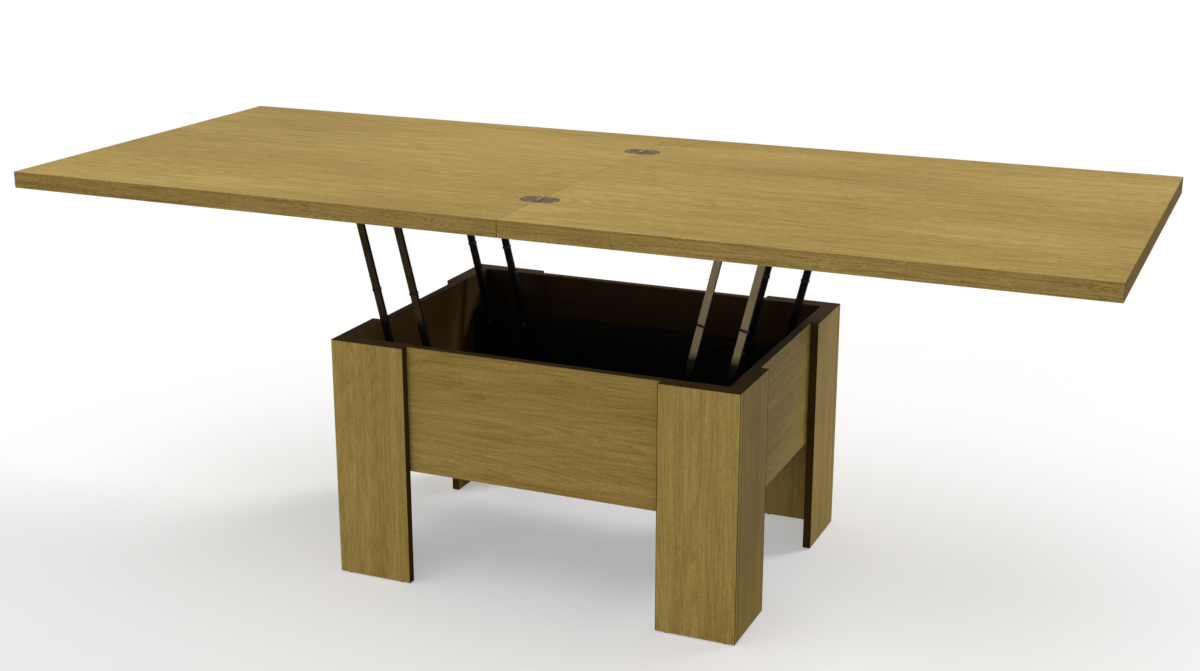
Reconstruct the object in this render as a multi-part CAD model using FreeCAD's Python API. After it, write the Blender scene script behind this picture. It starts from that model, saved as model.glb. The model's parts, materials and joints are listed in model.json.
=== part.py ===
import FreeCAD, Part
import math
import os

# Extending table: a box base on four board legs, a top of two leaves hinged across the middle,
# and two sets of swing arms. The right leaf folds over the left one, and the arms then swing the
# folded top over and down until it lies centred on the rim of the base.
# Millimetres. Origin on the floor under the middle of the base, +X along the top, +Z up.

# Top
top_length = 2100.0
top_width = 850.0
top_thickness = 32.0
table_height = 780.0
leaf_band = 1.0
seam_gap = 0.4

# Base
base_length = 828.0
base_width = 630.0
rim_height = 484.0
apron_height = 252.0
board = 16.0
leg_face_width = 156.0
leg_side_width = 142.0
edge_band = 1.0
glide_diameter = 12.0
glide_height = 2.0
glide_nail_diameter = 3.0
glide_nail_length = 14.0
glide_inset = 20.0
leg_screw_diameter = 6.0
leg_screw_bite = 12.0
leg_screw_head = 11.0
leg_screw_head_height = 3.0
leg_screw_inset = 60.0

# Lift plates
plate_thickness = 3.0
plate_setback = 67.0
plate_flange = 27.0
plate_screw_diameter = 5.0
plate_screw_bite = 12.0
plate_screw_head = 10.0
plate_screw_head_height = 3.0
plate_screws_per_flange = 3

# Swing arms
pivot_rise = 42.0
arm_width = 14.0
arm_thickness = 8.0
arm_pitch = 82.2
arm_rim_clearance = 18.4
arm_plate_gap = 6.0
arm_layer_gap = 8.0
arm_joint_height = 560.0
lower_eye = 24.0
upper_eye = 20.0
boss_diameter = 20.0
joint_collar = 5.0
joint_collar_rim = 0.9
joint_stud_diameter = 5.0
joint_stud_length = 40.0
guide_radius = 105.0
guide_pin_diameter = 6.0
guide_pin_head = 11.0
slot_clearance = 0.3
slot_edge = 9.0
journal_diameter = 10.0
shaft_diameter = 14.0
bush_diameter = 14.0
bush_flange_diameter = 18.0
bush_flange = 2.0
running_clearance = 0.08
side_clearance = 0.5
pin_head_height = 2.0
pivot_head = 16.0
pin_overhang = 2.0

# Brackets, rails and pads under the leaves
bracket_gauge = 3.0
bracket_flange = 37.0
bracket_margin = 28.0
bracket_drop = 14.0
top_pivot_drop = 16.0
top_pin_diameter = 8.0
top_pin_head = 14.0
top_pin_collar = 12.0
bracket_gap = 1.0
bracket_screw_diameter = 4.0
bracket_screw_bite = 20.0
bracket_screw_head = 8.0
bracket_screw_head_height = 2.5
bracket_screws = 4
rail_flange = 32.0
pad_height = 3.5
pad_length = 44.0
pad_width = 24.0
pad_gap = 0.5
cross_bar_diameter = 16.0

# Leaf hinges
hinge_inset = 177.0
hinge_half_length = 38.0
hinge_width = 50.0
hinge_plate = 3.0
hinge_rise = 0.25
knuckle_diameter = 4.8
knuckle_clearance = 0.3
barrel_length = 30.0
hinge_pin_diameter = 2.0
hinge_screw_diameter = 4.0
hinge_screw_head = 8.0
hinge_screw_head_height = 2.0
hinge_screw_length = 20.0
hinge_screw_edge = 8.0

# Rest gap between the rim and the leaf that lies on it when the top is down
seat_gap = 1.0

# Levels and half sizes that follow from the driving sizes
underside = table_height - top_thickness
leaf_length = top_length / 2
leg_x = base_length / 2
leg_y = base_width / 2
box_x = leg_x - board
box_y = leg_y - board
well_x = box_x - board
well_y = box_y - board
apron_bottom = rim_height - apron_height
floor_top = apron_bottom + board
pivot_height = floor_top + pivot_rise
board_top = rim_height - edge_band

# The top pivots travel half a leaf sideways and down to the rim, so each arm's foot lies on the
# line that is as far from the raised pivot as from the lowered one.
travel = leaf_length / 2
drop = underside - rim_height - seat_gap
top_pivot_z = underside - top_pivot_drop
arm_rise = top_pivot_z - pivot_height
arm_reach = travel / 2 - (arm_rise - drop / 2) * drop / travel
arm_length = math.hypot(arm_reach, arm_rise)
lean = math.degrees(math.atan2(arm_reach, arm_rise))
lowered = math.degrees(math.asin((travel - arm_reach) / arm_length))
swing = lean + lowered
rim_offset = (rim_height - pivot_height) * math.tan(math.radians(lean))
outer_foot = well_x - arm_rim_clearance - rim_offset - arm_width / 2 / math.cos(math.radians(lean))
inner_foot = outer_foot - arm_pitch
feet = {"outer": outer_foot, "inner": inner_foot}
joint_distance = (arm_joint_height - pivot_height) / math.cos(math.radians(lean))

# Layers from the plates inwards, as distances from the middle plane of the table
plate_outer = well_y - plate_setback
plate_inner = plate_outer - plate_thickness
bush_face = plate_inner - bush_flange
left_arm_outer = plate_inner - arm_plate_gap
left_arm_inner = left_arm_outer - arm_thickness
right_arm_outer = left_arm_inner - arm_layer_gap
right_arm_inner = right_arm_outer - arm_thickness
arm_outer = {-1: left_arm_outer, 1: right_arm_outer}
arm_inner = {-1: left_arm_inner, 1: right_arm_inner}
pin_end = plate_outer + pin_overhang
plate_top = pivot_height + guide_radius + guide_pin_diameter / 2 + slot_edge
bracket_inner = left_arm_outer + bracket_gap
rail_outer = right_arm_inner - bracket_gap
rail_top = underside - pad_gap - pad_height

sides = {"front": -1, "back": 1}
hands = {"left": -1, "right": 1}
Vector = FreeCAD.Vector


def block(xs, ys, zs):
    # Rectangular block between two corners, each pair in either order
    low = Vector(min(xs), min(ys), min(zs))
    high = Vector(max(xs), max(ys), max(zs))
    size = high - low
    return Part.makeBox(size.x, size.y, size.z, low)


def rod(diameter, start, end):
    # Round bar from one point to another
    axis = Vector(*end) - Vector(*start)
    return Part.makeCylinder(diameter / 2, axis.Length, Vector(*start), axis)


def turned(x, z, steps):
    # Turned pin along Y: each step is a diameter and the two places where it starts and ends
    rods = [rod(diameter, (x, start, z), (x, end, z)) for diameter, start, end in steps]
    return rods[0].multiFuse(rods[1:]).removeSplitter()


def headed(diameter, head_diameter, head_height, seat, end):
    # Screw whose head stands off its seat, away from the end of its shank
    seat_point = Vector(*seat)
    way = (Vector(*end) - seat_point).normalize()
    head = rod(head_diameter, seat_point - way * head_height, seat)
    return head.fuse(rod(diameter, seat, end)).removeSplitter()


def without(shape, tools):
    # Shape with the tools cut away, in one piece
    cut = shape.cut(Part.makeCompound(tools))
    return cut.Solids[0] if len(cut.Solids) == 1 else cut


def export(name, solids):
    # One file for each node, holding one solid or a group of separate solids
    shape = solids[0] if len(solids) == 1 else Part.makeCompound(solids)
    shape.exportStep("parts/" + name + ".step")


def spread(start, end, count):
    # Evenly spaced places, each in the middle of its share of the stretch
    share = (end - start) / count
    return [start + share * (index + 0.5) for index in range(count)]


def leg_screws():
    # Screws from inside the box through an apron into each leg board, two to a board
    screws = []
    heights = (apron_bottom + leg_screw_inset, rim_height - leg_screw_inset)
    face_x = leg_x - leg_face_width / 2
    side_y = (plate_outer + plate_flange + well_y) / 2
    for x_sign in (-1, 1):
        for y_sign in (-1, 1):
            for z in heights:
                for seat, way in (((face_x, well_y, z), (0, 1, 0)), ((well_x, side_y, z), (1, 0, 0))):
                    seat_point = Vector(x_sign * seat[0], y_sign * seat[1], z)
                    reach = Vector(x_sign * way[0], y_sign * way[1], 0) * (board + leg_screw_bite)
                    screws.append(headed(leg_screw_diameter, leg_screw_head, leg_screw_head_height,
                                         seat_point, seat_point + reach))
    return screws


def foot_glides():
    # Nailed discs under both ends of every leg board
    glides = []
    face_xs = (leg_x - glide_inset, leg_x - leg_face_width + glide_inset)
    side_ys = (box_y - glide_inset, box_y - leg_side_width + glide_inset)
    places = [(x, leg_y - board / 2) for x in face_xs] + [(leg_x - board / 2, y) for y in side_ys]
    for x_sign in (-1, 1):
        for y_sign in (-1, 1):
            for x, y in places:
                seat = (x_sign * x, y_sign * y, glide_height)
                end = (x_sign * x, y_sign * y, glide_height + glide_nail_length)
                glides.append(headed(glide_nail_diameter, glide_diameter, glide_height, seat, end))
    return glides


def build_base(plate_screw_solids):
    # Box, legs, edge bands, glides and the screws between them
    screws = leg_screws()
    glides = foot_glides()
    rim = (apron_bottom, board_top)
    top_band = (board_top, rim_height)
    rim_bands = []
    leg_bands = []
    for side, y_sign in sides.items():
        ys = (y_sign * well_y, y_sign * box_y)
        export(side + "_apron", [without(block((-box_x, box_x), ys, rim), screws)])
        rim_bands.append(block((-box_x, box_x), ys, top_band))
    for hand, x_sign in hands.items():
        xs = (x_sign * well_x, x_sign * box_x)
        export(hand + "_apron", [without(block(xs, (-well_y, well_y), rim), screws + plate_screw_solids)])
        rim_bands.append(block(xs, (-well_y, well_y), top_band))
    export("box_floor", [block((-well_x, well_x), (-well_y, well_y), (apron_bottom, floor_top))])
    for side, y_sign in sides.items():
        for hand, x_sign in hands.items():
            corner = side + "_" + hand + "_leg"
            stand = (glide_height, board_top)
            face_ys = (y_sign * box_y, y_sign * leg_y)
            face_edge = leg_x - leg_face_width
            face_xs = (x_sign * (face_edge + edge_band), x_sign * leg_x)
            export(corner + "_face", [without(block(face_xs, face_ys, stand), screws + glides)])
            leg_bands.append(block((x_sign * face_edge, face_xs[0]), face_ys, stand))
            rim_bands.append(block((x_sign * face_edge, x_sign * leg_x), face_ys, top_band))
            side_xs = (x_sign * box_x, x_sign * leg_x)
            side_edge = box_y - leg_side_width
            side_ys = (y_sign * (side_edge + edge_band), y_sign * box_y)
            export(corner + "_side", [without(block(side_xs, side_ys, stand), screws + glides)])
            leg_bands.append(block(side_xs, (y_sign * side_edge, side_ys[0]), stand))
            rim_bands.append(block(side_xs, (y_sign * side_edge, y_sign * box_y), top_band))
    export("leg_edge_bands", leg_bands)
    export("rim_bands", rim_bands)
    export("foot_glides", glides)
    export("leg_screws", screws)


def arc_slot(x, first, last, width, y_from, y_to):
    # Slot along an arc about a pivot, with round ends, angles counted from straight up
    def at(radius, angle):
        turn = math.radians(angle)
        return Vector(x + radius * math.sin(turn), y_from, pivot_height + radius * math.cos(turn))

    def cap(angle, way):
        turn = math.radians(angle)
        tip = Vector(math.cos(turn), 0, -math.sin(turn)) * (way * width / 2)
        return at(guide_radius, angle) + tip

    inside = guide_radius - width / 2
    outside = guide_radius + width / 2
    middle = (first + last) / 2
    edges = [Part.Arc(at(outside, first), at(outside, middle), at(outside, last)),
             Part.Arc(at(outside, last), cap(last, 1), at(inside, last)),
             Part.Arc(at(inside, last), at(inside, middle), at(inside, first)),
             Part.Arc(at(inside, first), cap(first, -1), at(outside, first))]
    face = Part.Face(Part.Wire([edge.toShape() for edge in edges]))
    return face.extrude(Vector(0, y_to - y_from, 0))


def build_plates():
    # Black plates on the box floor, screwed to the end aprons, with bushes and guide slots
    screws = []
    bushes = []
    slot_width = guide_pin_diameter + 2 * slot_clearance
    for side, y_sign in sides.items():
        sheet_ys = (y_sign * plate_inner, y_sign * plate_outer)
        zs = (floor_top, plate_top)
        plate = block((-well_x, well_x), sheet_ys, zs)
        plate_screws = []
        for x_sign in hands.values():
            flange_xs = (x_sign * (well_x - plate_thickness), x_sign * well_x)
            flange_end = plate_outer + plate_flange
            plate = plate.fuse(block(flange_xs, (y_sign * plate_inner, y_sign * flange_end), zs))
            screw_y = y_sign * (plate_outer + plate_flange / 2)
            for z in spread(floor_top, plate_top, plate_screws_per_flange):
                seat = (flange_xs[0], screw_y, z)
                end = (x_sign * (well_x + plate_screw_bite), screw_y, z)
                plate_screws.append(headed(plate_screw_diameter, plate_screw_head,
                                           plate_screw_head_height, seat, end))
        cuts = list(plate_screws)
        for x_sign in hands.values():
            for foot in feet.values():
                x = x_sign * foot
                first, last = sorted((x_sign * lean, -x_sign * lowered))
                cuts.append(arc_slot(x, first, last, slot_width, *sheet_ys))
                bush = turned(x, pivot_height,
                              [(bush_flange_diameter, y_sign * bush_face, y_sign * plate_inner),
                               (bush_diameter, y_sign * plate_inner, y_sign * plate_outer)])
                cuts.append(bush)
                bore = rod(journal_diameter + 2 * running_clearance,
                           (x, y_sign * bush_face, pivot_height), (x, y_sign * plate_outer, pivot_height))
                bushes.append(bush.cut(bore).Solids[0])
        export(side + "_lift_plate", [without(plate.removeSplitter(), cuts)])
        screws.extend(plate_screws)
    export("plate_screws", screws)
    export("pivot_bushes", bushes)
    return screws


def leaning(shape, hand, foot):
    # Upright arm piece turned to its lean and set on its foot
    turned_shape = shape.copy()
    turned_shape.rotate(Vector(0, 0, 0), Vector(0, 1, 0), hand * lean)
    turned_shape.translate(Vector(hand * foot, 0, pivot_height))
    return turned_shape


def build_arms(hand_name, hand, row, foot):
    # One pair of arms, near and far, that swing together
    name = hand_name + "_" + row
    lower_bars = []
    upper_bars = []
    studs = []
    guides = []
    pivots = []
    half = arm_width / 2
    collar_start = joint_distance - joint_collar / 2
    collar_end = joint_distance + joint_collar / 2
    for y_sign in sides.values():
        inner = y_sign * arm_inner[hand]
        outer = y_sign * arm_outer[hand]
        boss_end = y_sign * (bush_face - side_clearance)
        middle = (inner + outer) / 2
        stud = rod(joint_stud_diameter, (0, middle, joint_distance - joint_stud_length / 2),
                   (0, middle, joint_distance + joint_stud_length / 2))
        rim = y_sign * joint_collar_rim
        collar = block((-half - joint_collar_rim, half + joint_collar_rim),
                       (inner - rim, outer + rim), (collar_start, collar_end))
        guide = turned(0, guide_radius, [(guide_pin_head, inner - y_sign * pin_head_height, inner),
                                         (guide_pin_diameter, inner, y_sign * pin_end)])
        if row == "inner":
            pivot = turned(0, 0, [(pivot_head, inner - y_sign * pin_head_height, inner),
                                  (journal_diameter, inner, y_sign * pin_end)])
        else:
            pivot = turned(0, 0, [(shaft_diameter, 0, inner), (journal_diameter, inner, y_sign * pin_end)])
        pivots.append(leaning(pivot, hand, foot))
        lower = block((-half, half), (inner, outer), (0, collar_start))
        lower = lower.fuse(rod(lower_eye, (0, inner, 0), (0, outer, 0)))
        lower = lower.fuse(rod(boss_diameter, (0, outer, 0), (0, boss_end, 0))).removeSplitter()
        lower_bars.append(leaning(without(lower, [stud, guide, pivot]), hand, foot))
        upper = block((-half, half), (inner, outer), (collar_end, arm_length))
        upper = upper.fuse(rod(upper_eye, (0, inner, arm_length), (0, outer, arm_length))).removeSplitter()
        bore = rod(top_pin_diameter + 2 * running_clearance, (0, inner, arm_length), (0, outer, arm_length))
        upper_bars.append(leaning(without(upper, [stud, bore]), hand, foot))
        studs.append(leaning(stud.fuse(collar).removeSplitter(), hand, foot))
        guides.append(leaning(guide, hand, foot))
    export(name + "_lower_bars", lower_bars)
    export(name + "_upper_bars", upper_bars)
    export(name + "_joint_studs", studs)
    export(name + "_guide_pins", guides)
    if row == "inner":
        export(name + "_pivot_pins", pivots)
    else:
        export(name + "_cross_shaft", [pivots[0].fuse(pivots[1]).removeSplitter()])


def top_pivots(hand):
    # Places of the outer and inner top pivots with the table raised
    return [hand * (foot + arm_reach) for foot in feet.values()]


def build_brackets():
    # Angle brackets screwed under the main leaf, with the pins that the left arms turn on
    screws = []
    pins = []
    pivots = top_pivots(hands["left"])
    ends = (min(pivots) - bracket_margin, max(pivots) + bracket_margin)
    for side, y_sign in sides.items():
        inner = y_sign * bracket_inner
        web = y_sign * (bracket_inner + bracket_gauge)
        outer = y_sign * (bracket_inner + bracket_flange)
        seat_z = underside - bracket_gauge
        bracket = block(ends, (inner, outer), (seat_z, underside))
        bracket = bracket.fuse(block(ends, (inner, web), (top_pivot_z - bracket_drop, underside)))
        screw_y = (web + outer) / 2
        side_screws = [headed(bracket_screw_diameter, bracket_screw_head, bracket_screw_head_height,
                              (x, screw_y, seat_z), (x, screw_y, underside + bracket_screw_bite))
                       for x in spread(*ends, bracket_screws)]
        collar_start = y_sign * (left_arm_inner - running_clearance)
        collar_end = collar_start - y_sign * pin_head_height
        side_pins = [turned(x, top_pivot_z, [(top_pin_head, web + y_sign * pin_head_height, web),
                                             (top_pin_diameter, web, collar_start),
                                             (top_pin_collar, collar_start, collar_end)])
                     for x in pivots]
        export(side + "_main_bracket", [without(bracket.removeSplitter(), side_screws + side_pins)])
        screws.extend(side_screws)
        pins.extend(side_pins)
    export("main_bracket_screws", screws)
    export("main_pivot_pins", pins)
    return screws


def build_carrier():
    # Support rails on the right arms, with pads that slide under the leaves
    pins = []
    pads = []
    pivots = top_pivots(hands["right"])
    ends = (min(pivots) - bracket_margin, max(pivots) + bracket_margin)
    web = rail_outer - bracket_gauge
    for side, y_sign in sides.items():
        outer = y_sign * rail_outer
        inner = y_sign * (rail_outer - rail_flange)
        rail = block(ends, (outer, inner), (rail_top - bracket_gauge, rail_top))
        rail = rail.fuse(block(ends, (outer, y_sign * web), (top_pivot_z - bracket_drop, rail_top)))
        collar_start = y_sign * (right_arm_outer + running_clearance)
        collar_end = collar_start + y_sign * pin_head_height
        side_pins = [turned(x, top_pivot_z, [(top_pin_head, y_sign * (web - pin_head_height), y_sign * web),
                                             (top_pin_diameter, y_sign * web, collar_start),
                                             (top_pin_collar, collar_start, collar_end)])
                     for x in pivots]
        pad_middle = (outer + inner) / 2
        pad_ys = (pad_middle - pad_width / 2, pad_middle + pad_width / 2)
        for end, way in zip(ends, (1, -1)):
            pads.append(block((end, end + way * pad_length), pad_ys, (rail_top, rail_top + pad_height)))
        export(side + "_support_rail", [without(rail.removeSplitter(), side_pins)])
        pins.extend(side_pins)
    bar_x = sum(pivots) / len(pivots)
    bar_z = (top_pivot_z - bracket_drop + rail_top - bracket_gauge) / 2
    export("carrier_cross_bar", [rod(cross_bar_diameter, (bar_x, -web, bar_z), (bar_x, web, bar_z))])
    export("slide_pads", pads)
    export("carrier_pivot_pins", pins)


def hinge_blank(hand, y):
    # Half of a hinge's oval, from the seam to its round end, as thick as the plate
    radius = hinge_width / 2
    low = table_height - hinge_plate
    round_x = hand * (hinge_half_length - radius)
    straight = block((hand * seam_gap / 2, round_x), (y - radius, y + radius), (low, table_height))
    end = rod(hinge_width, (round_x, y, low), (round_x, y, table_height))
    end = end.common(block((round_x, hand * hinge_half_length), (y - radius, y + radius), (low, table_height)))
    return straight.fuse(end).removeSplitter()


def hinge_screws(hand, y):
    # Two countersunk screws near the seam corners and one near the round end
    radius = hinge_width / 2
    near_x = hinge_half_length - radius
    places = [(near_x, y - radius + hinge_screw_edge), (near_x, y + radius - hinge_screw_edge),
              (hinge_half_length - hinge_screw_edge, y)]
    head_z = table_height - hinge_screw_head_height
    screws = []
    for x, screw_y in places:
        head = Part.makeCone(hinge_screw_diameter / 2, hinge_screw_head / 2, hinge_screw_head_height,
                             Vector(hand * x, screw_y, head_z))
        shank = rod(hinge_screw_diameter, (hand * x, screw_y, table_height - hinge_screw_length),
                    (hand * x, screw_y, head_z))
        screws.append(head.fuse(shank).removeSplitter())
    return screws


def barrel(diameter, spans):
    # Stretches of the hinge barrel on the fold axis
    axis_z = table_height + hinge_rise
    return [rod(diameter, (0, start, axis_z), (0, end, axis_z)) for start, end in spans]


def build_leaf(name, hand, bracket_screw_solids):
    # One leaf of the top, its edge bands and its half of both hinges
    seam_x = hand * seam_gap / 2
    end_x = hand * leaf_length
    half = top_width / 2
    inner_half = half - leaf_band
    zs = (underside, table_height)
    board_xs = (seam_x + hand * leaf_band, end_x - hand * leaf_band)
    plates = []
    screws = []
    pins = []
    mortises = []
    share = barrel_length / 3
    ear = knuckle_clearance / 2
    for y_sign in sides.values():
        y = y_sign * (half - hinge_inset)
        start = y - barrel_length / 2
        middle_span = [(start + share + ear, start + 2 * share - ear)]
        outer_spans = [(start, start + share - ear), (start + 2 * share + ear, start + barrel_length)]
        own, other = (outer_spans, middle_span) if hand < 0 else (middle_span, outer_spans)
        blank = hinge_blank(hand, y)
        side_screws = hinge_screws(hand, y)
        pin = barrel(hinge_pin_diameter, [(start, start + barrel_length)])[0]
        bore = pin if hand < 0 else barrel(hinge_pin_diameter + 2 * running_clearance,
                                           [(start, start + barrel_length)])[0]
        room = [(low - 2 * ear, high + 2 * ear) for low, high in other]
        plate = blank.cut(Part.makeCompound(barrel(knuckle_diameter + 2 * knuckle_clearance, room)))
        plate = plate.multiFuse(barrel(knuckle_diameter, own)).removeSplitter()
        plates.append(without(plate, side_screws + [bore]))
        screws.extend(side_screws)
        pins.append(pin)
        mortises.append(blank)
    cuts = mortises + screws + bracket_screw_solids
    export(name + "_board", [without(block(board_xs, (-inner_half, inner_half), zs), cuts)])
    bands = [without(block((seam_x, board_xs[0]), (-inner_half, inner_half), zs), mortises),
             block((board_xs[1], end_x), (-inner_half, inner_half), zs)]
    bands += [block((seam_x, end_x), (y_sign * inner_half, y_sign * half), zs) for y_sign in sides.values()]
    export(name + "_edge_bands", bands)
    export(name + "_hinge_plates", plates)
    export(name + "_hinge_screws", screws)
    if hand < 0:
        export("hinge_pins", pins)


def main():
    os.makedirs("parts", exist_ok=True)
    build_base(build_plates())
    for hand_name, hand in hands.items():
        for row, foot in feet.items():
            build_arms(hand_name, hand, row, foot)
    bracket_screw_solids = build_brackets()
    build_carrier()
    build_leaf("main_leaf", hands["left"], bracket_screw_solids)
    build_leaf("folding_leaf", hands["right"], [])
    print("lean", round(lean, 4), "swing", round(swing, 4), "arm length", round(arm_length, 3))
    print("feet", feet, "pivot height", pivot_height, "reach", round(arm_reach, 3), "top pivot", top_pivot_z)


main()
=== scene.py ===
import json
import math

import bmesh
import bpy
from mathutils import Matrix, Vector

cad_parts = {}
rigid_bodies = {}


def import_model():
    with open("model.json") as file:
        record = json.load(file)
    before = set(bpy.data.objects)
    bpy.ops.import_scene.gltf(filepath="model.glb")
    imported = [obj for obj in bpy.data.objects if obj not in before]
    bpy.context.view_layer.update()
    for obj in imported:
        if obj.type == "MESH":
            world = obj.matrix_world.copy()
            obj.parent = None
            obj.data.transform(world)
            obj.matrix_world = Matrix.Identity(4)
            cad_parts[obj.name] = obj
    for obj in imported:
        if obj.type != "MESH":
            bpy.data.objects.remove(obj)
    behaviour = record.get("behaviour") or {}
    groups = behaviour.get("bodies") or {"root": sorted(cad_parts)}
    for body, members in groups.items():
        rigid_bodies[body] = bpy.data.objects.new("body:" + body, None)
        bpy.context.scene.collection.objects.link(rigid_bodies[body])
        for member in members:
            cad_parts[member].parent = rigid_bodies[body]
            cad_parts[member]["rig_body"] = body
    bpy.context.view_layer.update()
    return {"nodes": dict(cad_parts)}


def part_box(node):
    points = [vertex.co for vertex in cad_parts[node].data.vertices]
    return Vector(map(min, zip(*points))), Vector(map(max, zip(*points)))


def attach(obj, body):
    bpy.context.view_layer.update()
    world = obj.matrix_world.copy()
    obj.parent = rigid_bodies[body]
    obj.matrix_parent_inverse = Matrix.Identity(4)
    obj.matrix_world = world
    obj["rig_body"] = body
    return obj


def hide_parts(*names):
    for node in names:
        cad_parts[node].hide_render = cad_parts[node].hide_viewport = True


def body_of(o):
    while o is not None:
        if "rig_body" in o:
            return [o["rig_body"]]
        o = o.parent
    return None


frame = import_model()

scene = bpy.context.scene
scene.view_settings.view_transform = "Standard"
mm = 0.001
nodes = frame["nodes"]
print("table frame loaded,", len(nodes), "nodes")


def toLinear(hexColour):  # sRGB hex to the linear colour that shaders take
    parts = [int(hexColour[i:i + 2], 16) / 255 for i in (1, 3, 5)]
    return [c / 12.92 if c <= 0.04045 else ((c + 0.055) / 1.055) ** 2.4 for c in parts] + [1.0]


def addNode(tree, kind, sockets=None, stops=None, **settings):
    node = tree.nodes.new(kind)
    for name, value in settings.items():
        setattr(node, name, value)
    for name, value in (sockets or {}).items():
        if isinstance(value, bpy.types.NodeSocket):
            tree.links.new(value, node.inputs[name])
        else:
            node.inputs[name].default_value = value
    for count, (spot, hexColour) in enumerate(stops or []):
        ramp = node.color_ramp.elements
        stop = ramp[count] if count < 2 else ramp.new(spot)
        stop.position = spot
        stop.color = toLinear(hexColour)
    return node


def startMaterial(name):
    material = bpy.data.materials.new(name)
    material.use_nodes = True
    tree = material.node_tree
    return material, tree, tree.nodes["Principled BSDF"]


def perMetre(sizeMm):  # a pattern's scale on coordinates in metres
    return 1 / (sizeMm * mm)


def fadeAlong(tree, place, colour, fade):  # a colour whose strength changes along one axis, places in mm
    axis, (startMm, startShare), (stopMm, stopShare) = fade
    spot = addNode(tree, "ShaderNodeSeparateXYZ", {"Vector": place}).outputs[axis]
    share = addNode(tree, "ShaderNodeMapRange", {
        "Value": spot, "From Min": startMm * mm, "From Max": stopMm * mm,
        "To Min": startShare, "To Max": stopShare})
    return addNode(tree, "ShaderNodeVectorMath", {0: colour, "Scale": share.outputs[0]},
                   operation="SCALE").outputs[0]


# Oak-look melamine laminate, pressed with a light pore texture: honey coloured, a dull satin;
# each growth ring starts with a row of short dark pores and pales off, and the rings open into arches.
# Fibres, dashes and flecks are drawn coarser than on a real board, so that they show in the render
oakLook = {
    "stops": [(0.2, "#8F7535"), (0.5, "#A88C46"), (0.8, "#BDA45C")],
    "pore": "#725B28",
    "layers": {  # length and width in mm, detail, contrast
        "arch": (1400, 125, 1.5, 1.0),
        "streak": (620, 20, 2.5, 2.3),
        "fibre": (130, 2.2, 3.0, 2.6),
        "dash": (80, 1.8, 3.0, 3.0),
        "drift": (520, 150, 2.0, 2.0),
        "fleck": (6, 3, 2.0, 3.4),
    },
    "shares": {"streak": 0.28, "fibre": 0.3, "drift": 0.22, "fleck": 0.2},
    "cloud": 0.68,  # the noise's own roughness
    "nextBoard": (7.3, 3.7, 1.9),  # how far the print moves from board to board
    "nextLayer": (5.1, 1, 2),  # and from layer to layer
    "rings": 40,
    "waver": 0.03,
    "ringPaled": 0.6,  # share of a ring by which it has paled off
    "ringLate": 0.15,  # the darkness that is left there
    "ringRise": 0.92,  # where the next ring starts to darken
    "roughness": (0.44, 0.58),
    "bump": 0.35,
    "relief": 0.05,  # mm
}
# The top is seen at a low angle, so its fibres and rows of pores are drawn wider still
topLook = dict(oakLook, shares={"streak": 0.23, "fibre": 0.26, "drift": 0.31, "fleck": 0.2},
               layers=dict(oakLook["layers"], streak=(300, 16, 2.0, 2.2), fibre=(150, 4.5, 5.0, 3.2),
                           dash=(110, 6, 5.0, 3.2), drift=(800, 330, 1.0, 2.6), fleck=(7, 5, 2.0, 3.6)))
# The edge strips show the same print in a livelier cut, made darker as painted shade
shadedEdgeLook = dict(oakLook, stops=[(0.2, "#846A31"), (0.5, "#A38748"), (0.8, "#BAA05F")], pore="#665025",
                layers=dict(oakLook["layers"], arch=(520, 45, 2.0, 1.0), drift=(210, 90, 2.0, 2.0)))
# The leaves' short ends are darker still, as painted shade
shortEndShadeLook = dict(shadedEdgeLook, stops=[(0.2, "#6A5323"), (0.5, "#7E642F"), (0.8, "#8E7540")], pore="#4A3A1A")


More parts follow.
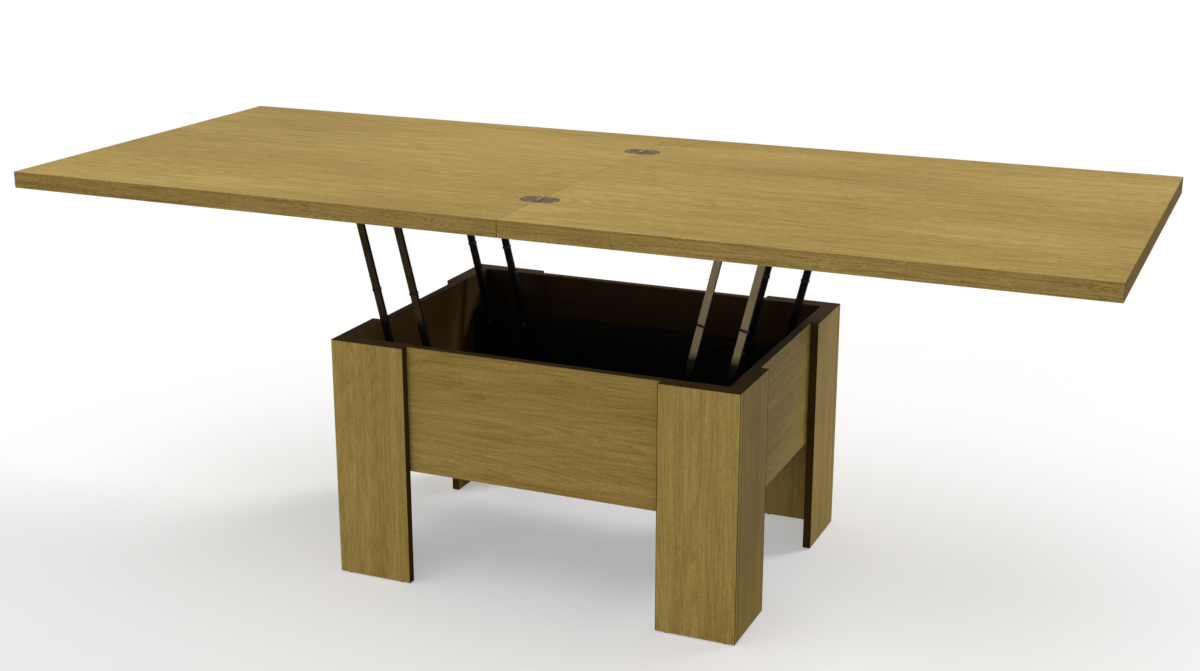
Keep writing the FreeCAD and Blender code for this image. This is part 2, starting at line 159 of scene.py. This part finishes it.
def oakLaminate(name, look, grain, shift, poreShare, shine):  # grain is the axis that it runs along
    material, tree, shader = startMaterial(name)
    place = addNode(tree, "ShaderNodeTexCoord").outputs["Object"]
    layer = {}
    for count, (key, (longMm, crossMm, detail, contrast)) in enumerate(look["layers"].items()):
        stretch = [perMetre(crossMm)] * 3
        stretch[grain] = perMetre(longMm)
        spot = addNode(tree, "ShaderNodeMapping", {
            "Vector": place, "Scale": stretch,
            "Location": [shift * a + count * b for a, b in zip(look["nextBoard"], look["nextLayer"])]})
        cloud = addNode(tree, "ShaderNodeTexNoise", {
            "Vector": spot.outputs[0], "Scale": 1.0, "Detail": detail, "Roughness": look["cloud"]})
        half = 0.5 / contrast
        layer[key] = addNode(tree, "ShaderNodeMapRange", {
            "Value": cloud.outputs["Fac"], "From Min": 0.5 - half, "From Max": 0.5 + half}).outputs[0]
    field = addNode(tree, "ShaderNodeMath", {0: layer["streak"], 1: look["waver"], 2: layer["arch"]},
                    operation="MULTIPLY_ADD")
    rings = addNode(tree, "ShaderNodeMath", {0: field.outputs[0], 1: look["rings"]}, operation="MULTIPLY")
    phase = addNode(tree, "ShaderNodeMath", {0: rings.outputs[0]}, operation="FRACT")
    early = addNode(tree, "ShaderNodeMapRange", {
        "Value": phase.outputs[0], "From Max": look["ringPaled"],
        "To Min": 1.0, "To Max": look["ringLate"]})
    rise = addNode(tree, "ShaderNodeMapRange", {"Value": phase.outputs[0], "From Min": look["ringRise"]})
    ringDark = addNode(tree, "ShaderNodeMath", {0: early.outputs[0], 1: rise.outputs[0]},
                       operation="MAXIMUM")
    pores = addNode(tree, "ShaderNodeMath", {0: ringDark.outputs[0], 1: layer["dash"]},
                    operation="MULTIPLY")
    poreMix = addNode(tree, "ShaderNodeMath", {0: pores.outputs[0], 1: poreShare}, operation="MULTIPLY")
    tone = 0.0
    for key, share in look["shares"].items():
        tone = addNode(tree, "ShaderNodeMath", {0: layer[key], 1: share, 2: tone},
                       operation="MULTIPLY_ADD").outputs[0]
    colour = addNode(tree, "ShaderNodeValToRGB", {"Fac": tone}, look["stops"])
    porous = addNode(tree, "ShaderNodeMix", {
        "Factor": poreMix.outputs[0], "A": colour.outputs["Color"], "B": toLinear(look["pore"])},
        data_type="RGBA")
    tree.links.new(porous.outputs["Result"], shader.inputs["Base Color"])
    low, high = look["roughness"]
    gloss = addNode(tree, "ShaderNodeMapRange", {"Value": layer["fibre"], "To Min": low, "To Max": high})
    tree.links.new(gloss.outputs[0], shader.inputs["Roughness"])
    shader.inputs["Specular IOR Level"].default_value = shine
    relief = addNode(tree, "ShaderNodeMath", {0: layer["fibre"], 1: pores.outputs[0]},
                     operation="SUBTRACT")
    bump = addNode(tree, "ShaderNodeBump", {
        "Height": relief.outputs[0], "Strength": look["bump"], "Distance": look["relief"] * mm})
    tree.links.new(bump.outputs[0], shader.inputs["Normal"])
    return material


# What the fine-grained skins share: the middle range of their noise
noiseSpan = {"From Min": 0.3, "From Max": 0.7}

# Wenge-look melamine edge band, glued on and trimmed: dark brown, dull, with fine even specks,
# which are drawn coarser than real ones so that they show; speck and relief in mm
wengeLook = {"stops": [(0.3, "#3B2B12"), (0.7, "#57401E")], "speck": 1.5, "detail": 3.0, "cloud": 0.6,
             "shine": 0.02, "roughness": (0.55, 0.65), "bump": 0.2, "relief": 0.03}
# The box's inside has the same print, darker
insideLook = dict(wengeLook, stops=[(0.3, "#271B0D"), (0.7, "#3E2D18")])
# On the two short boards it is paler, most so towards the front: painted light
endLitLook = dict(wengeLook, stops=[(0.3, "#4C3A1E"), (0.7, "#7A6036")],
               fade=("Y", (-283, 2.1), (283, 0.45)))


def wengeBand(name, look):
    material, tree, shader = startMaterial(name)
    place = addNode(tree, "ShaderNodeTexCoord").outputs["Object"]
    grit = addNode(tree, "ShaderNodeTexNoise", {
        "Vector": place, "Scale": perMetre(look["speck"]),
        "Detail": look["detail"], "Roughness": look["cloud"]}).outputs["Fac"]
    colour = addNode(tree, "ShaderNodeValToRGB", {"Fac": grit}, look["stops"]).outputs["Color"]
    if "fade" in look:
        colour = fadeAlong(tree, place, colour, look["fade"])
    tree.links.new(colour, shader.inputs["Base Color"])
    low, high = look["roughness"]
    gloss = addNode(tree, "ShaderNodeMapRange", {
        "Value": grit, **noiseSpan, "To Min": low, "To Max": high})
    tree.links.new(gloss.outputs[0], shader.inputs["Roughness"])
    shader.inputs["Specular IOR Level"].default_value = look["shine"]
    bump = addNode(tree, "ShaderNodeBump", {
        "Height": grit, "Strength": look["bump"], "Distance": look["relief"] * mm})
    tree.links.new(bump.outputs[0], shader.inputs["Normal"])
    return material


# What the coats, platings and mouldings share: the noise of their grit and of their cloudiness, and
# the relief in mm. The grit is drawn coarser than real grit, so that it shows
coatLook = {"gritDetail": 2.0, "gritRough": 0.5, "cloudDetail": 3.0, "cloudRough": 0.6, "relief": 0.05}


def coatedMetal(name, look):  # a coat or plating with a fine skin, its grit and cloud sizes in mm
    material, tree, shader = startMaterial(name)
    place = addNode(tree, "ShaderNodeTexCoord").outputs["Object"]
    grit = addNode(tree, "ShaderNodeTexNoise", {
        "Vector": place, "Scale": perMetre(look["grit"]),
        "Detail": coatLook["gritDetail"], "Roughness": coatLook["gritRough"]}).outputs["Fac"]
    cloud = addNode(tree, "ShaderNodeTexNoise", {
        "Vector": place, "Scale": perMetre(look["cloud"]),
        "Detail": coatLook["cloudDetail"], "Roughness": coatLook["cloudRough"]}).outputs["Fac"]
    colour = addNode(tree, "ShaderNodeValToRGB", {"Fac": cloud}, look["stops"]).outputs["Color"]
    if "fade" in look:
        colour = fadeAlong(tree, place, colour, look["fade"])
    tree.links.new(colour, shader.inputs["Base Color"])
    shader.inputs["Metallic"].default_value = look["metallic"]
    shader.inputs["Specular IOR Level"].default_value = look["shine"]
    low, high = look["roughness"]
    gloss = addNode(tree, "ShaderNodeMapRange", {
        "Value": cloud, **noiseSpan, "To Min": low, "To Max": high})
    tree.links.new(gloss.outputs[0], shader.inputs["Roughness"])
    bump = addNode(tree, "ShaderNodeBump", {
        "Height": grit, "Strength": look["skin"], "Distance": coatLook["relief"] * mm})
    tree.links.new(bump.outputs[0], shader.inputs["Normal"])
    return material


# Powder coat on pressed steel: near black, faint orange peel
powderLook = {"stops": [(0.3, "#080706"), (0.7, "#0F0E0C")], "grit": 1.2, "cloud": 40,
              "metallic": 0.0, "shine": 0.1, "roughness": (0.5, 0.62), "skin": 0.35}
# Bronze-brown stove enamel on bar steel: dark brown, satin, with painted shade that turns the lower ends
# black
armLook = {"stops": [(0.3, "#3A2C17"), (0.7, "#4A3A22")], "grit": 0.9, "cloud": 25,
           "metallic": 0.0, "shine": 0.03, "roughness": (0.40, 0.5), "skin": 0.2,
           "fade": ("Z", (494, 0.05), (516, 1.0))}
# The same enamel, near black, on the bars' other faces: painted shade
armShadeLook = dict(armLook, stops=[(0.3, "#17110A"), (0.7, "#20180F")])
# The enamel in a paler bronze-grey on the right set's outer faces, as painted light: satin, with the same
# painted shade on the black lower ends
armLitLook = {"stops": [(0.3, "#8C7B5C"), (0.7, "#9C8B69")], "grit": 0.9, "cloud": 25,
            "metallic": 0.0, "shine": 0.1, "roughness": (0.36, 0.48), "skin": 0.2,
            "fade": ("Z", (492, 0.02), (512, 1.0))}
# Antique pewter plating on die-cast zinc: grey-brown, soft shine, mottled
pewterLook = {"stops": [(0.3, "#3B2D17"), (0.7, "#5F4D2C")], "grit": 0.8, "cloud": 5,
              "metallic": 0.35, "shine": 0.05, "roughness": (0.42, 0.55), "skin": 0.25}
# The same plating, paler and more metallic
palerPewterLook = dict(pewterLook, stops=[(0.3, "#766747"), (0.7, "#92815C")], metallic=0.5)
# Zinc-plated steel: bright grey, slightly cloudy
zincLook = {"stops": [(0.3, "#9C9A94"), (0.7, "#C4C2BC")], "grit": 0.6, "cloud": 5,
            "metallic": 1.0, "shine": 0.5, "roughness": (0.25, 0.4), "skin": 0.15}
# Zinc gone dull with grease on the pins
pinLook = dict(zincLook, stops=[(0.3, "#3E3B36"), (0.7, "#524F49")], roughness=(0.35, 0.5))
# Black oxide on turned steel: brown-black, oily sheen
oxideLook = {"stops": [(0.3, "#15130F"), (0.7, "#221F1A")], "grit": 0.6, "cloud": 8,
             "metallic": 0.6, "shine": 0.3, "roughness": (0.36, 0.48), "skin": 0.15}
# Moulded nylon: off-white, waxy
nylonLook = {"stops": [(0.3, "#C9C4B4"), (0.7, "#D8D4C6")], "grit": 0.7, "cloud": 15,
             "metallic": 0.0, "shine": 0.4, "roughness": (0.45, 0.55), "skin": 0.2}
# Moulded polypropylene: dark brown, matt
glideLook = {"stops": [(0.3, "#1C150E"), (0.7, "#2A2118")], "grit": 0.7, "cloud": 10,
             "metallic": 0.0, "shine": 0.3, "roughness": (0.5, 0.6), "skin": 0.3}

finish = {
    "topMain": oakLaminate("oakMelamineTopMain", topLook, grain=0, shift=1.0, poreShare=0.75, shine=0.03),
    "topFold": oakLaminate("oakMelamineTopFold", topLook, grain=0, shift=4.0, poreShare=0.75, shine=0.03),
    "topMainEdge": oakLaminate("oakMelamineEdgeMainPaintedShade", shadedEdgeLook, grain=0, shift=2.0, poreShare=0.8,
                               shine=0.1),
    "topFoldEdge": oakLaminate("oakMelamineEdgeFoldPaintedShade", shadedEdgeLook, grain=0, shift=5.0, poreShare=0.8,
                               shine=0.1),
    "topShortEndPaintedShade": oakLaminate("oakMelamineShortEndPaintedShade", shortEndShadeLook, grain=1, shift=14.0, poreShare=0.8,
                               shine=0.02),
    "alongX": oakLaminate("oakMelamineLongApron", oakLook, grain=0, shift=7.0, poreShare=0.68, shine=0.15),
    "alongY": oakLaminate("oakMelamineShortApron", oakLook, grain=1, shift=9.0, poreShare=0.6, shine=0.2),
    "upright": oakLaminate("oakMelamineUpright", oakLook, grain=2, shift=12.0, poreShare=0.5, shine=0.2),
    "wenge": wengeBand("wengeMelamineEdgeBand", wengeLook),
    "wengeInside": wengeBand("wengeMelamineInside", insideLook),
    "wengeEndPaintedLight": wengeBand("wengeInsidePaintedLight", endLitLook),
    "arris": wengeBand("trimmedGlueLine", insideLook),
    "powder": coatedMetal("blackPowderCoat", powderLook),
    "arm": coatedMetal("bronzeBrownEnamelShadedEnds", armLook),
    "armPaintedShade": coatedMetal("blackBrownEnamelPaintedShade", armShadeLook),
    "armPaintedLight": coatedMetal("bronzeGreyEnamelPaintedLight", armLitLook),
    "pewter": coatedMetal("antiquePewterPlating", pewterLook),
    "palerPewter": coatedMetal("palerPewterPlating", palerPewterLook),
    "zinc": coatedMetal("zincPlatedSteel", zincLook),
    "pin": coatedMetal("greasedZincSteel", pinLook),
    "oxide": coatedMetal("blackOxideSteel", oxideLook),
    "nylon": coatedMetal("mouldedNylon", nylonLook),
    "glide": coatedMetal("mouldedPolypropylene", glideLook),
}
print("materials made,", len(finish))

# The leaf boards stay as packed, with their mortises
for node, key in (("main_leaf_board", "topMain"), ("folding_leaf_board", "topFold")):
    nodes[node].data.materials.clear()
    nodes[node].data.materials.append(finish[key])


def boxMm(node):
    low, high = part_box(node)
    return [v / mm for v in low], [v / mm for v in high]


# How edges are rounded: a bevel's segments, the weld distance in mm, and in degrees the bend up to which
# faces are joined, the one from which an edge is eased and the one up to which it is shaded smooth
edgeShape = {"segments": 2, "weld": 0.004, "flat": 1, "sharp": 35, "smooth": 20}


def addBoard(bm, low, high, ease):  # a board with eased edges, its corners in mm
    verts = bmesh.ops.create_cube(bm, size=1.0)["verts"]
    bmesh.ops.scale(bm, vec=[(b - a) * mm for a, b in zip(low, high)], verts=verts)
    bmesh.ops.translate(bm, vec=[(a + b) / 2 * mm for a, b in zip(low, high)], verts=verts)
    edges = list({edge for vert in verts for edge in vert.link_edges})
    bmesh.ops.bevel(bm, geom=edges, offset=ease * mm, offset_type="OFFSET",
                    segments=edgeShape["segments"], profile=0.5, affect="EDGES", material=-1)


def easedCopy(node, ease):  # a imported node's own shape with its sharp edges eased
    bm = bmesh.new()
    bm.from_mesh(nodes[node].data)
    bmesh.ops.remove_doubles(bm, verts=bm.verts, dist=edgeShape["weld"] * mm)
    bmesh.ops.dissolve_limit(bm, angle_limit=math.radians(edgeShape["flat"]), verts=bm.verts,
                             edges=bm.edges)
    sharp = [edge for edge in bm.edges if edge.calc_face_angle(0) > math.radians(edgeShape["sharp"])]
    bmesh.ops.bevel(bm, geom=sharp, offset=ease * mm, offset_type="OFFSET",
                    segments=edgeShape["segments"], profile=0.5, affect="EDGES", clamp_overlap=True,
                    material=-1)
    return bm


# A screw's cross recess: a round face has more than these corners, and the rest are shares of the head,
# apart from wing, which is how far a point may lean and still be on an arm of the cross
recessShape = {"corners": 20, "least": 0.6, "rim": 0.14, "wing": 0.5, "waist": 0.45, "draft": 0.03}


def crossRecess(bm, headMm, deepMm):  # a cross cut into every round head of this size
    bm.normal_update()
    heads = []
    for face in bm.faces:
        centre = face.calc_center_median()
        wideMm = max((vert.co - centre).length for vert in face.verts) * 2 / mm
        if len(face.verts) > recessShape["corners"] and recessShape["least"] * headMm < wideMm < headMm:
            heads.append(face)
    for head in heads:
        centre = head.calc_center_median()
        bmesh.ops.inset_region(bm, faces=[head], thickness=recessShape["rim"] * headMm * mm)
        side = head.normal.orthogonal().normalized()
        for vert in head.verts:
            out = vert.co - centre
            lean = abs(math.sin(2 * out.angle(side)))
            vert.co = centre + out * (1.0 if lean < recessShape["wing"] else recessShape["waist"])
        bmesh.ops.inset_region(bm, faces=[head], thickness=recessShape["draft"] * headMm * mm,
                               depth=-deepMm * mm)


def addPiece(name, bm, stands, finishes):
    for face in bm.faces:
        face.smooth = True
    for edge in bm.edges:
        edge.smooth = edge.calc_face_angle(0) < math.radians(edgeShape["smooth"])
    mesh = bpy.data.meshes.new(name)
    bm.to_mesh(mesh)
    bm.free()
    for key in finishes:
        mesh.materials.append(finish[key])
    piece = bpy.data.objects.new(name, mesh)
    scene.collection.objects.link(piece)
    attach(piece, body_of(nodes[stands[0]])[0])
    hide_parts(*stands)


# Box boards: oak outside, dark inside; inner is how squarely a face looks into the box
apronLook = {"ease": 0.6, "inner": 0.9,
             "oak": {"front_apron": "alongX", "back_apron": "alongX",
                     "left_apron": "alongY", "right_apron": "alongY"},
             "lining": {"alongX": "wengeInside", "alongY": "wengeEndPaintedLight"}}
for node, key in apronLook["oak"].items():
    bm = bmesh.new()
    low, high = boxMm(node)
    addBoard(bm, low, high, apronLook["ease"])
    inward = -Vector([(a + b) / 2 for a, b in zip(low, high)])
    inward.z = 0
    bm.normal_update()
    for face in bm.faces:
        face.material_index = 1 if face.normal.dot(inward.normalized()) > apronLook["inner"] else 0
    addPiece(node + "_board", bm, [node], [key, apronLook["lining"][key]])

bm = bmesh.new()
addBoard(bm, *boxMm("box_floor"), apronLook["ease"])
addPiece("box_floor_board", bm, ["box_floor"], ["wengeInside"])
print("box boards made")

# Corner legs: a face board and a side board, with a thin dark line along each trimmed upright edge;
# an eased upright edge leans up less than level, and looks along no axis as squarely as square
legLook = {"ease": 0.8, "band": 1.0, "bandEase": 0.3, "level": 0.1, "square": 0.95}
legNodes = [end + "_" + hand + "_leg_" + part for end in ("front", "back") for hand in ("left", "right")
            for part in ("face", "side")]
bands = bmesh.new()
rims = bmesh.new()
for node in legNodes:
    bm = bmesh.new()
    low, high = boxMm(node)
    addBoard(bm, low, high, legLook["ease"])
    bm.normal_update()
    axis = 0 if node.endswith("face") else 1  # the free edge, towards the middle of the side
    middle = (low[axis] + high[axis]) / 2
    for face in bm.faces:  # the line runs along the corner, not beside the edge band
        squarest = max(abs(n) for n in face.normal)
        upright = abs(face.normal.z) < legLook["level"] and squarest < legLook["square"]
        corner = abs(face.calc_center_median()[axis]) > abs(middle) * mm
        face.material_index = 1 if upright and corner else 0
    addPiece(node + "_board", bm, [node], ["upright", "arris"])
    bandLow, bandHigh = list(low), list(high)
    if low[axis] > 0:
        bandLow[axis], bandHigh[axis] = low[axis] - legLook["band"], low[axis]
    else:
        bandLow[axis], bandHigh[axis] = high[axis], high[axis] + legLook["band"]
    addBoard(bands, bandLow, bandHigh, legLook["bandEase"])
    rimLow = [min(a, b) for a, b in zip(low, bandLow)]
    rimHigh = [max(a, b) for a, b in zip(high, bandHigh)]
    addBoard(rims, rimLow[:2] + [high[2]], rimHigh[:2] + [high[2] + legLook["band"]], legLook["bandEase"])
for node in apronLook["oak"]:
    low, high = boxMm(node)
    addBoard(rims, low[:2] + [high[2]], high[:2] + [high[2] + legLook["band"]], legLook["bandEase"])
addPiece("leg_edge_strips", bands, ["leg_edge_bands"], ["wenge"])
addPiece("rim_strips", rims, ["rim_bands"], ["wenge"])
print("legs and dark strips made")

# Leaf edge strips: oak on the long sides and the end, notched at the seam for the hinges; sizes in mm,
# and how far a face looks endways or up to count as a strip's raw end, a short end or an upper face
leafLook = {"band": 1.0, "ease": 0.35, "seamEase": 0.2, "hingeAt": 248, "hingeHalf": 25, "hingeDeep": 3,
            "rawEnd": 0.3, "shortEnd": 0.7, "shortEndFrom": 500, "upper": 0.3}
# The free short end takes the darker copy of the edge print: painted shade
for leaf, key in (("main_leaf", "topMain"), ("folding_leaf", "topFold")):
    bm = bmesh.new()
    low, high = boxMm(leaf + "_edge_bands")
    band = leafLook["band"]
    addBoard(bm, low, [high[0], low[1] + band, high[2]], leafLook["ease"])
    addBoard(bm, [low[0], high[1] - band, low[2]], high, leafLook["ease"])
    inner = (low[1] + band, high[1] - band)
    seamFirst = abs(low[0]) < abs(high[0])
    seam = (low[0], low[0] + band) if seamFirst else (high[0] - band, high[0])
    end = (high[0] - band, high[0]) if seamFirst else (low[0], low[0] + band)
    addBoard(bm, [end[0], inner[0], low[2]], [end[1], inner[1], high[2]], leafLook["ease"])
    notch = high[2] - leafLook["hingeDeep"]
    addBoard(bm, [seam[0], inner[0], low[2]], [seam[1], inner[1], notch], leafLook["seamEase"])
    near = leafLook["hingeAt"] - leafLook["hingeHalf"]
    far = leafLook["hingeAt"] + leafLook["hingeHalf"]
    for start, stop in ((inner[0], -far), (-near, near), (far, inner[1])):
        addBoard(bm, [seam[0], start, notch], [seam[1], stop, high[2]], leafLook["seamEase"])
    bm.normal_update()
    for face in bm.faces:
        endways = abs(face.normal.x)
        middle = face.calc_center_median()
        if endways > leafLook["rawEnd"] and abs(middle.y) > inner[1] * mm:
            face.material_index = 2
        elif endways > leafLook["shortEnd"] and abs(middle.x) > leafLook["shortEndFrom"] * mm:
            face.material_index = 1
        elif face.normal.z > leafLook["upper"]:
            face.material_index = 3
    addPiece(leaf + "_edge_strips", bm, [leaf + "_edge_bands"],
             [key + "Edge", "topShortEndPaintedShade", "arris", key])
print("leaf strips made")

# Hinges: cast halves let into the top, their pins and their countersunk screws; sizes in mm
hingeLook = {"ease": 0.3, "knuckleFrom": 780.3, "screwEase": 0.15, "screwHead": 8, "recess": 1.0,
             "pinEase": 0.2}
for leaf in ("main_leaf", "folding_leaf"):
    node = leaf + "_hinge_plates"
    bm = easedCopy(node, hingeLook["ease"])
    for face in bm.faces:  # the knuckles are paler
        face.material_index = 1 if face.calc_center_median().z > hingeLook["knuckleFrom"] * mm else 0
    addPiece(leaf + "_hinge_halves", bm, [node], ["pewter", "palerPewter"])
    node = leaf + "_hinge_screws"
    bm = easedCopy(node, hingeLook["screwEase"])
    crossRecess(bm, hingeLook["screwHead"], hingeLook["recess"])
    addPiece(leaf + "_hinge_screw_heads", bm, [node], ["palerPewter"])
pins = easedCopy("hinge_pins", hingeLook["pinEase"])
addPiece("hinge_pin_rods", pins, ["hinge_pins"], ["zinc"])
print("hinges made")

# Lift mechanism: pressed steel, bars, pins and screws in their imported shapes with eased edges
metalLook = {  # ease in mm, slot, finish
    "lift_plate": (0.5, "black_plate", "powder"),
    "main_bracket": (0.5, "black_bracket", "powder"),
    "support_rail": (0.5, "black_bracket", "powder"),
    "cross_bar": (0.6, "black_bracket", "powder"),
    "cross_shaft": (0.6, "black_bracket", "powder"),
    "joint_studs": (0.25, "dark_steel", "oxide"),
    "pivot_bushes": (0.3, "nylon", "nylon"),
    "slide_pads": (0.8, "nylon", "nylon"),
    "foot_glides": (0.5, "glide_plastic", "glide"),
    "guide_pins": (0.6, "bright_steel", "pin"),
    "pivot_pins": (0.6, "bright_steel", "pin"),
}
screwLook = {"ease": 0.5, "recess": 1.4,  # mm, as the head sizes are
             "heads": {"plate_screws": (10, "zinc"), "leg_screws": (11, "oxide"),
                       "main_bracket_screws": (8, "zinc")}}
barLook = {"ease": 0.7, "outward": 0.5}  # outward is how squarely an outer face looks away from the middle
for node in sorted(nodes):
    for word, (ease, slot, key) in metalLook.items():
        if node.endswith(word):
            addPiece(node + "_eased", easedCopy(node, ease), [node], [key])
    if node in screwLook["heads"]:
        headMm, key = screwLook["heads"][node]
        bm = easedCopy(node, screwLook["ease"])
        crossRecess(bm, headMm, screwLook["recess"])
        addPiece(node + "_heads", bm, [node], [key])
    if node.endswith("_bars"):
        bm = easedCopy(node, barLook["ease"])
        bm.normal_update()
        for face in bm.faces:  # the outer faces are paler, most so on the right set: painted shade on the other faces, painted light on the right set's outer faces
            across = face.calc_center_median().y
            face.material_index = 1 if face.normal.y * across > barLook["outward"] * abs(across) else 0
        outer = "armPaintedLight" if node.startswith("right") else "arm"
        addPiece(node + "_eased", bm, [node], ["armPaintedShade", outer])
print("mechanism made")

# Floor and world: white to the camera, dimmer in what they throw on the table; reach in metres
stageLook = {"floor": "#D5D4D3", "glow": 0.36, "bounce": 0.45, "reach": 60.0, "world": 0.42}
white = (1, 1, 1, 1)
bm = bmesh.new()
bmesh.ops.create_grid(bm, x_segments=2, y_segments=2, size=stageLook["reach"])
floorMesh = bpy.data.meshes.new("studioFloor")
bm.to_mesh(floorMesh)
bm.free()
floor = bpy.data.objects.new("studioFloor", floorMesh)
scene.collection.objects.link(floor)
floorMaterial, tree, shader = startMaterial("paleStudioFloor")
seen = addNode(tree, "ShaderNodeLightPath")
paint = addNode(tree, "ShaderNodeMix", {
    "Factor": seen.outputs["Is Camera Ray"], "A": [stageLook["bounce"]] * 3 + [1],
    "B": toLinear(stageLook["floor"])}, data_type="RGBA")
tree.links.new(paint.outputs["Result"], shader.inputs["Base Color"])
glow = addNode(tree, "ShaderNodeMath", {0: seen.outputs["Is Camera Ray"], 1: stageLook["glow"]},
               operation="MULTIPLY")
shader.inputs["Emission Color"].default_value = white
tree.links.new(glow.outputs[0], shader.inputs["Emission Strength"])
shader.inputs["Roughness"].default_value = 1.0
shader.inputs["Specular IOR Level"].default_value = 0.0
floorMesh.materials.append(floorMaterial)

world = bpy.data.worlds.new("studioWorld")
scene.world = world
world.use_nodes = True
tree = world.node_tree
sky = tree.nodes["Background"]
sky.inputs["Color"].default_value = white
seen = addNode(tree, "ShaderNodeLightPath")
straight = addNode(tree, "ShaderNodeMath", {
    0: seen.outputs["Is Camera Ray"], 1: seen.outputs["Is Glossy Ray"]}, operation="MAXIMUM")
through = addNode(tree, "ShaderNodeMath", {
    0: straight.outputs[0], 1: seen.outputs["Is Transmission Ray"]}, operation="MAXIMUM")
level = addNode(tree, "ShaderNodeMapRange", {"Value": through.outputs[0], "To Min": stageLook["world"]})
tree.links.new(level.outputs[0], sky.inputs["Strength"])

# Lights: strength, softness and turn in degrees
lampLook = {"overheadSoft": (1.02, 70, (12, -14, 0)),
            "frontSoft": (0.74, 24, (86, 0, -15)),
            "backRightSoft": (1.2, 16, (50, 0, 138))}
for name, (strength, softness, turn) in lampLook.items():
    lamp = bpy.data.lights.new(name, "SUN")
    lamp.energy = strength
    lamp.angle = math.radians(softness)
    lampObject = bpy.data.objects.new(name, lamp)
    lampObject.rotation_euler = [math.radians(t) for t in turn]
    scene.collection.objects.link(lampObject)

# Camera, from the fit of the photo: place in metres, turn in degrees (16.87 below level), lens in mm
cameraLook = {"place": (1.3260, -3.0485, 1.4617), "turn": (90 - 16.87, 0, 23.32),
              "lens": 52.36, "sensor": 36}
camera = bpy.data.cameras.new("photoCamera")
camera.lens = cameraLook["lens"]
camera.sensor_width = cameraLook["sensor"]
camera.sensor_fit = "HORIZONTAL"
cameraObject = bpy.data.objects.new("photoCamera", camera)
cameraObject.location = cameraLook["place"]
cameraObject.rotation_euler = [math.radians(t) for t in cameraLook["turn"]]
scene.collection.objects.link(cameraObject)
scene.camera = cameraObject
print("stage set")
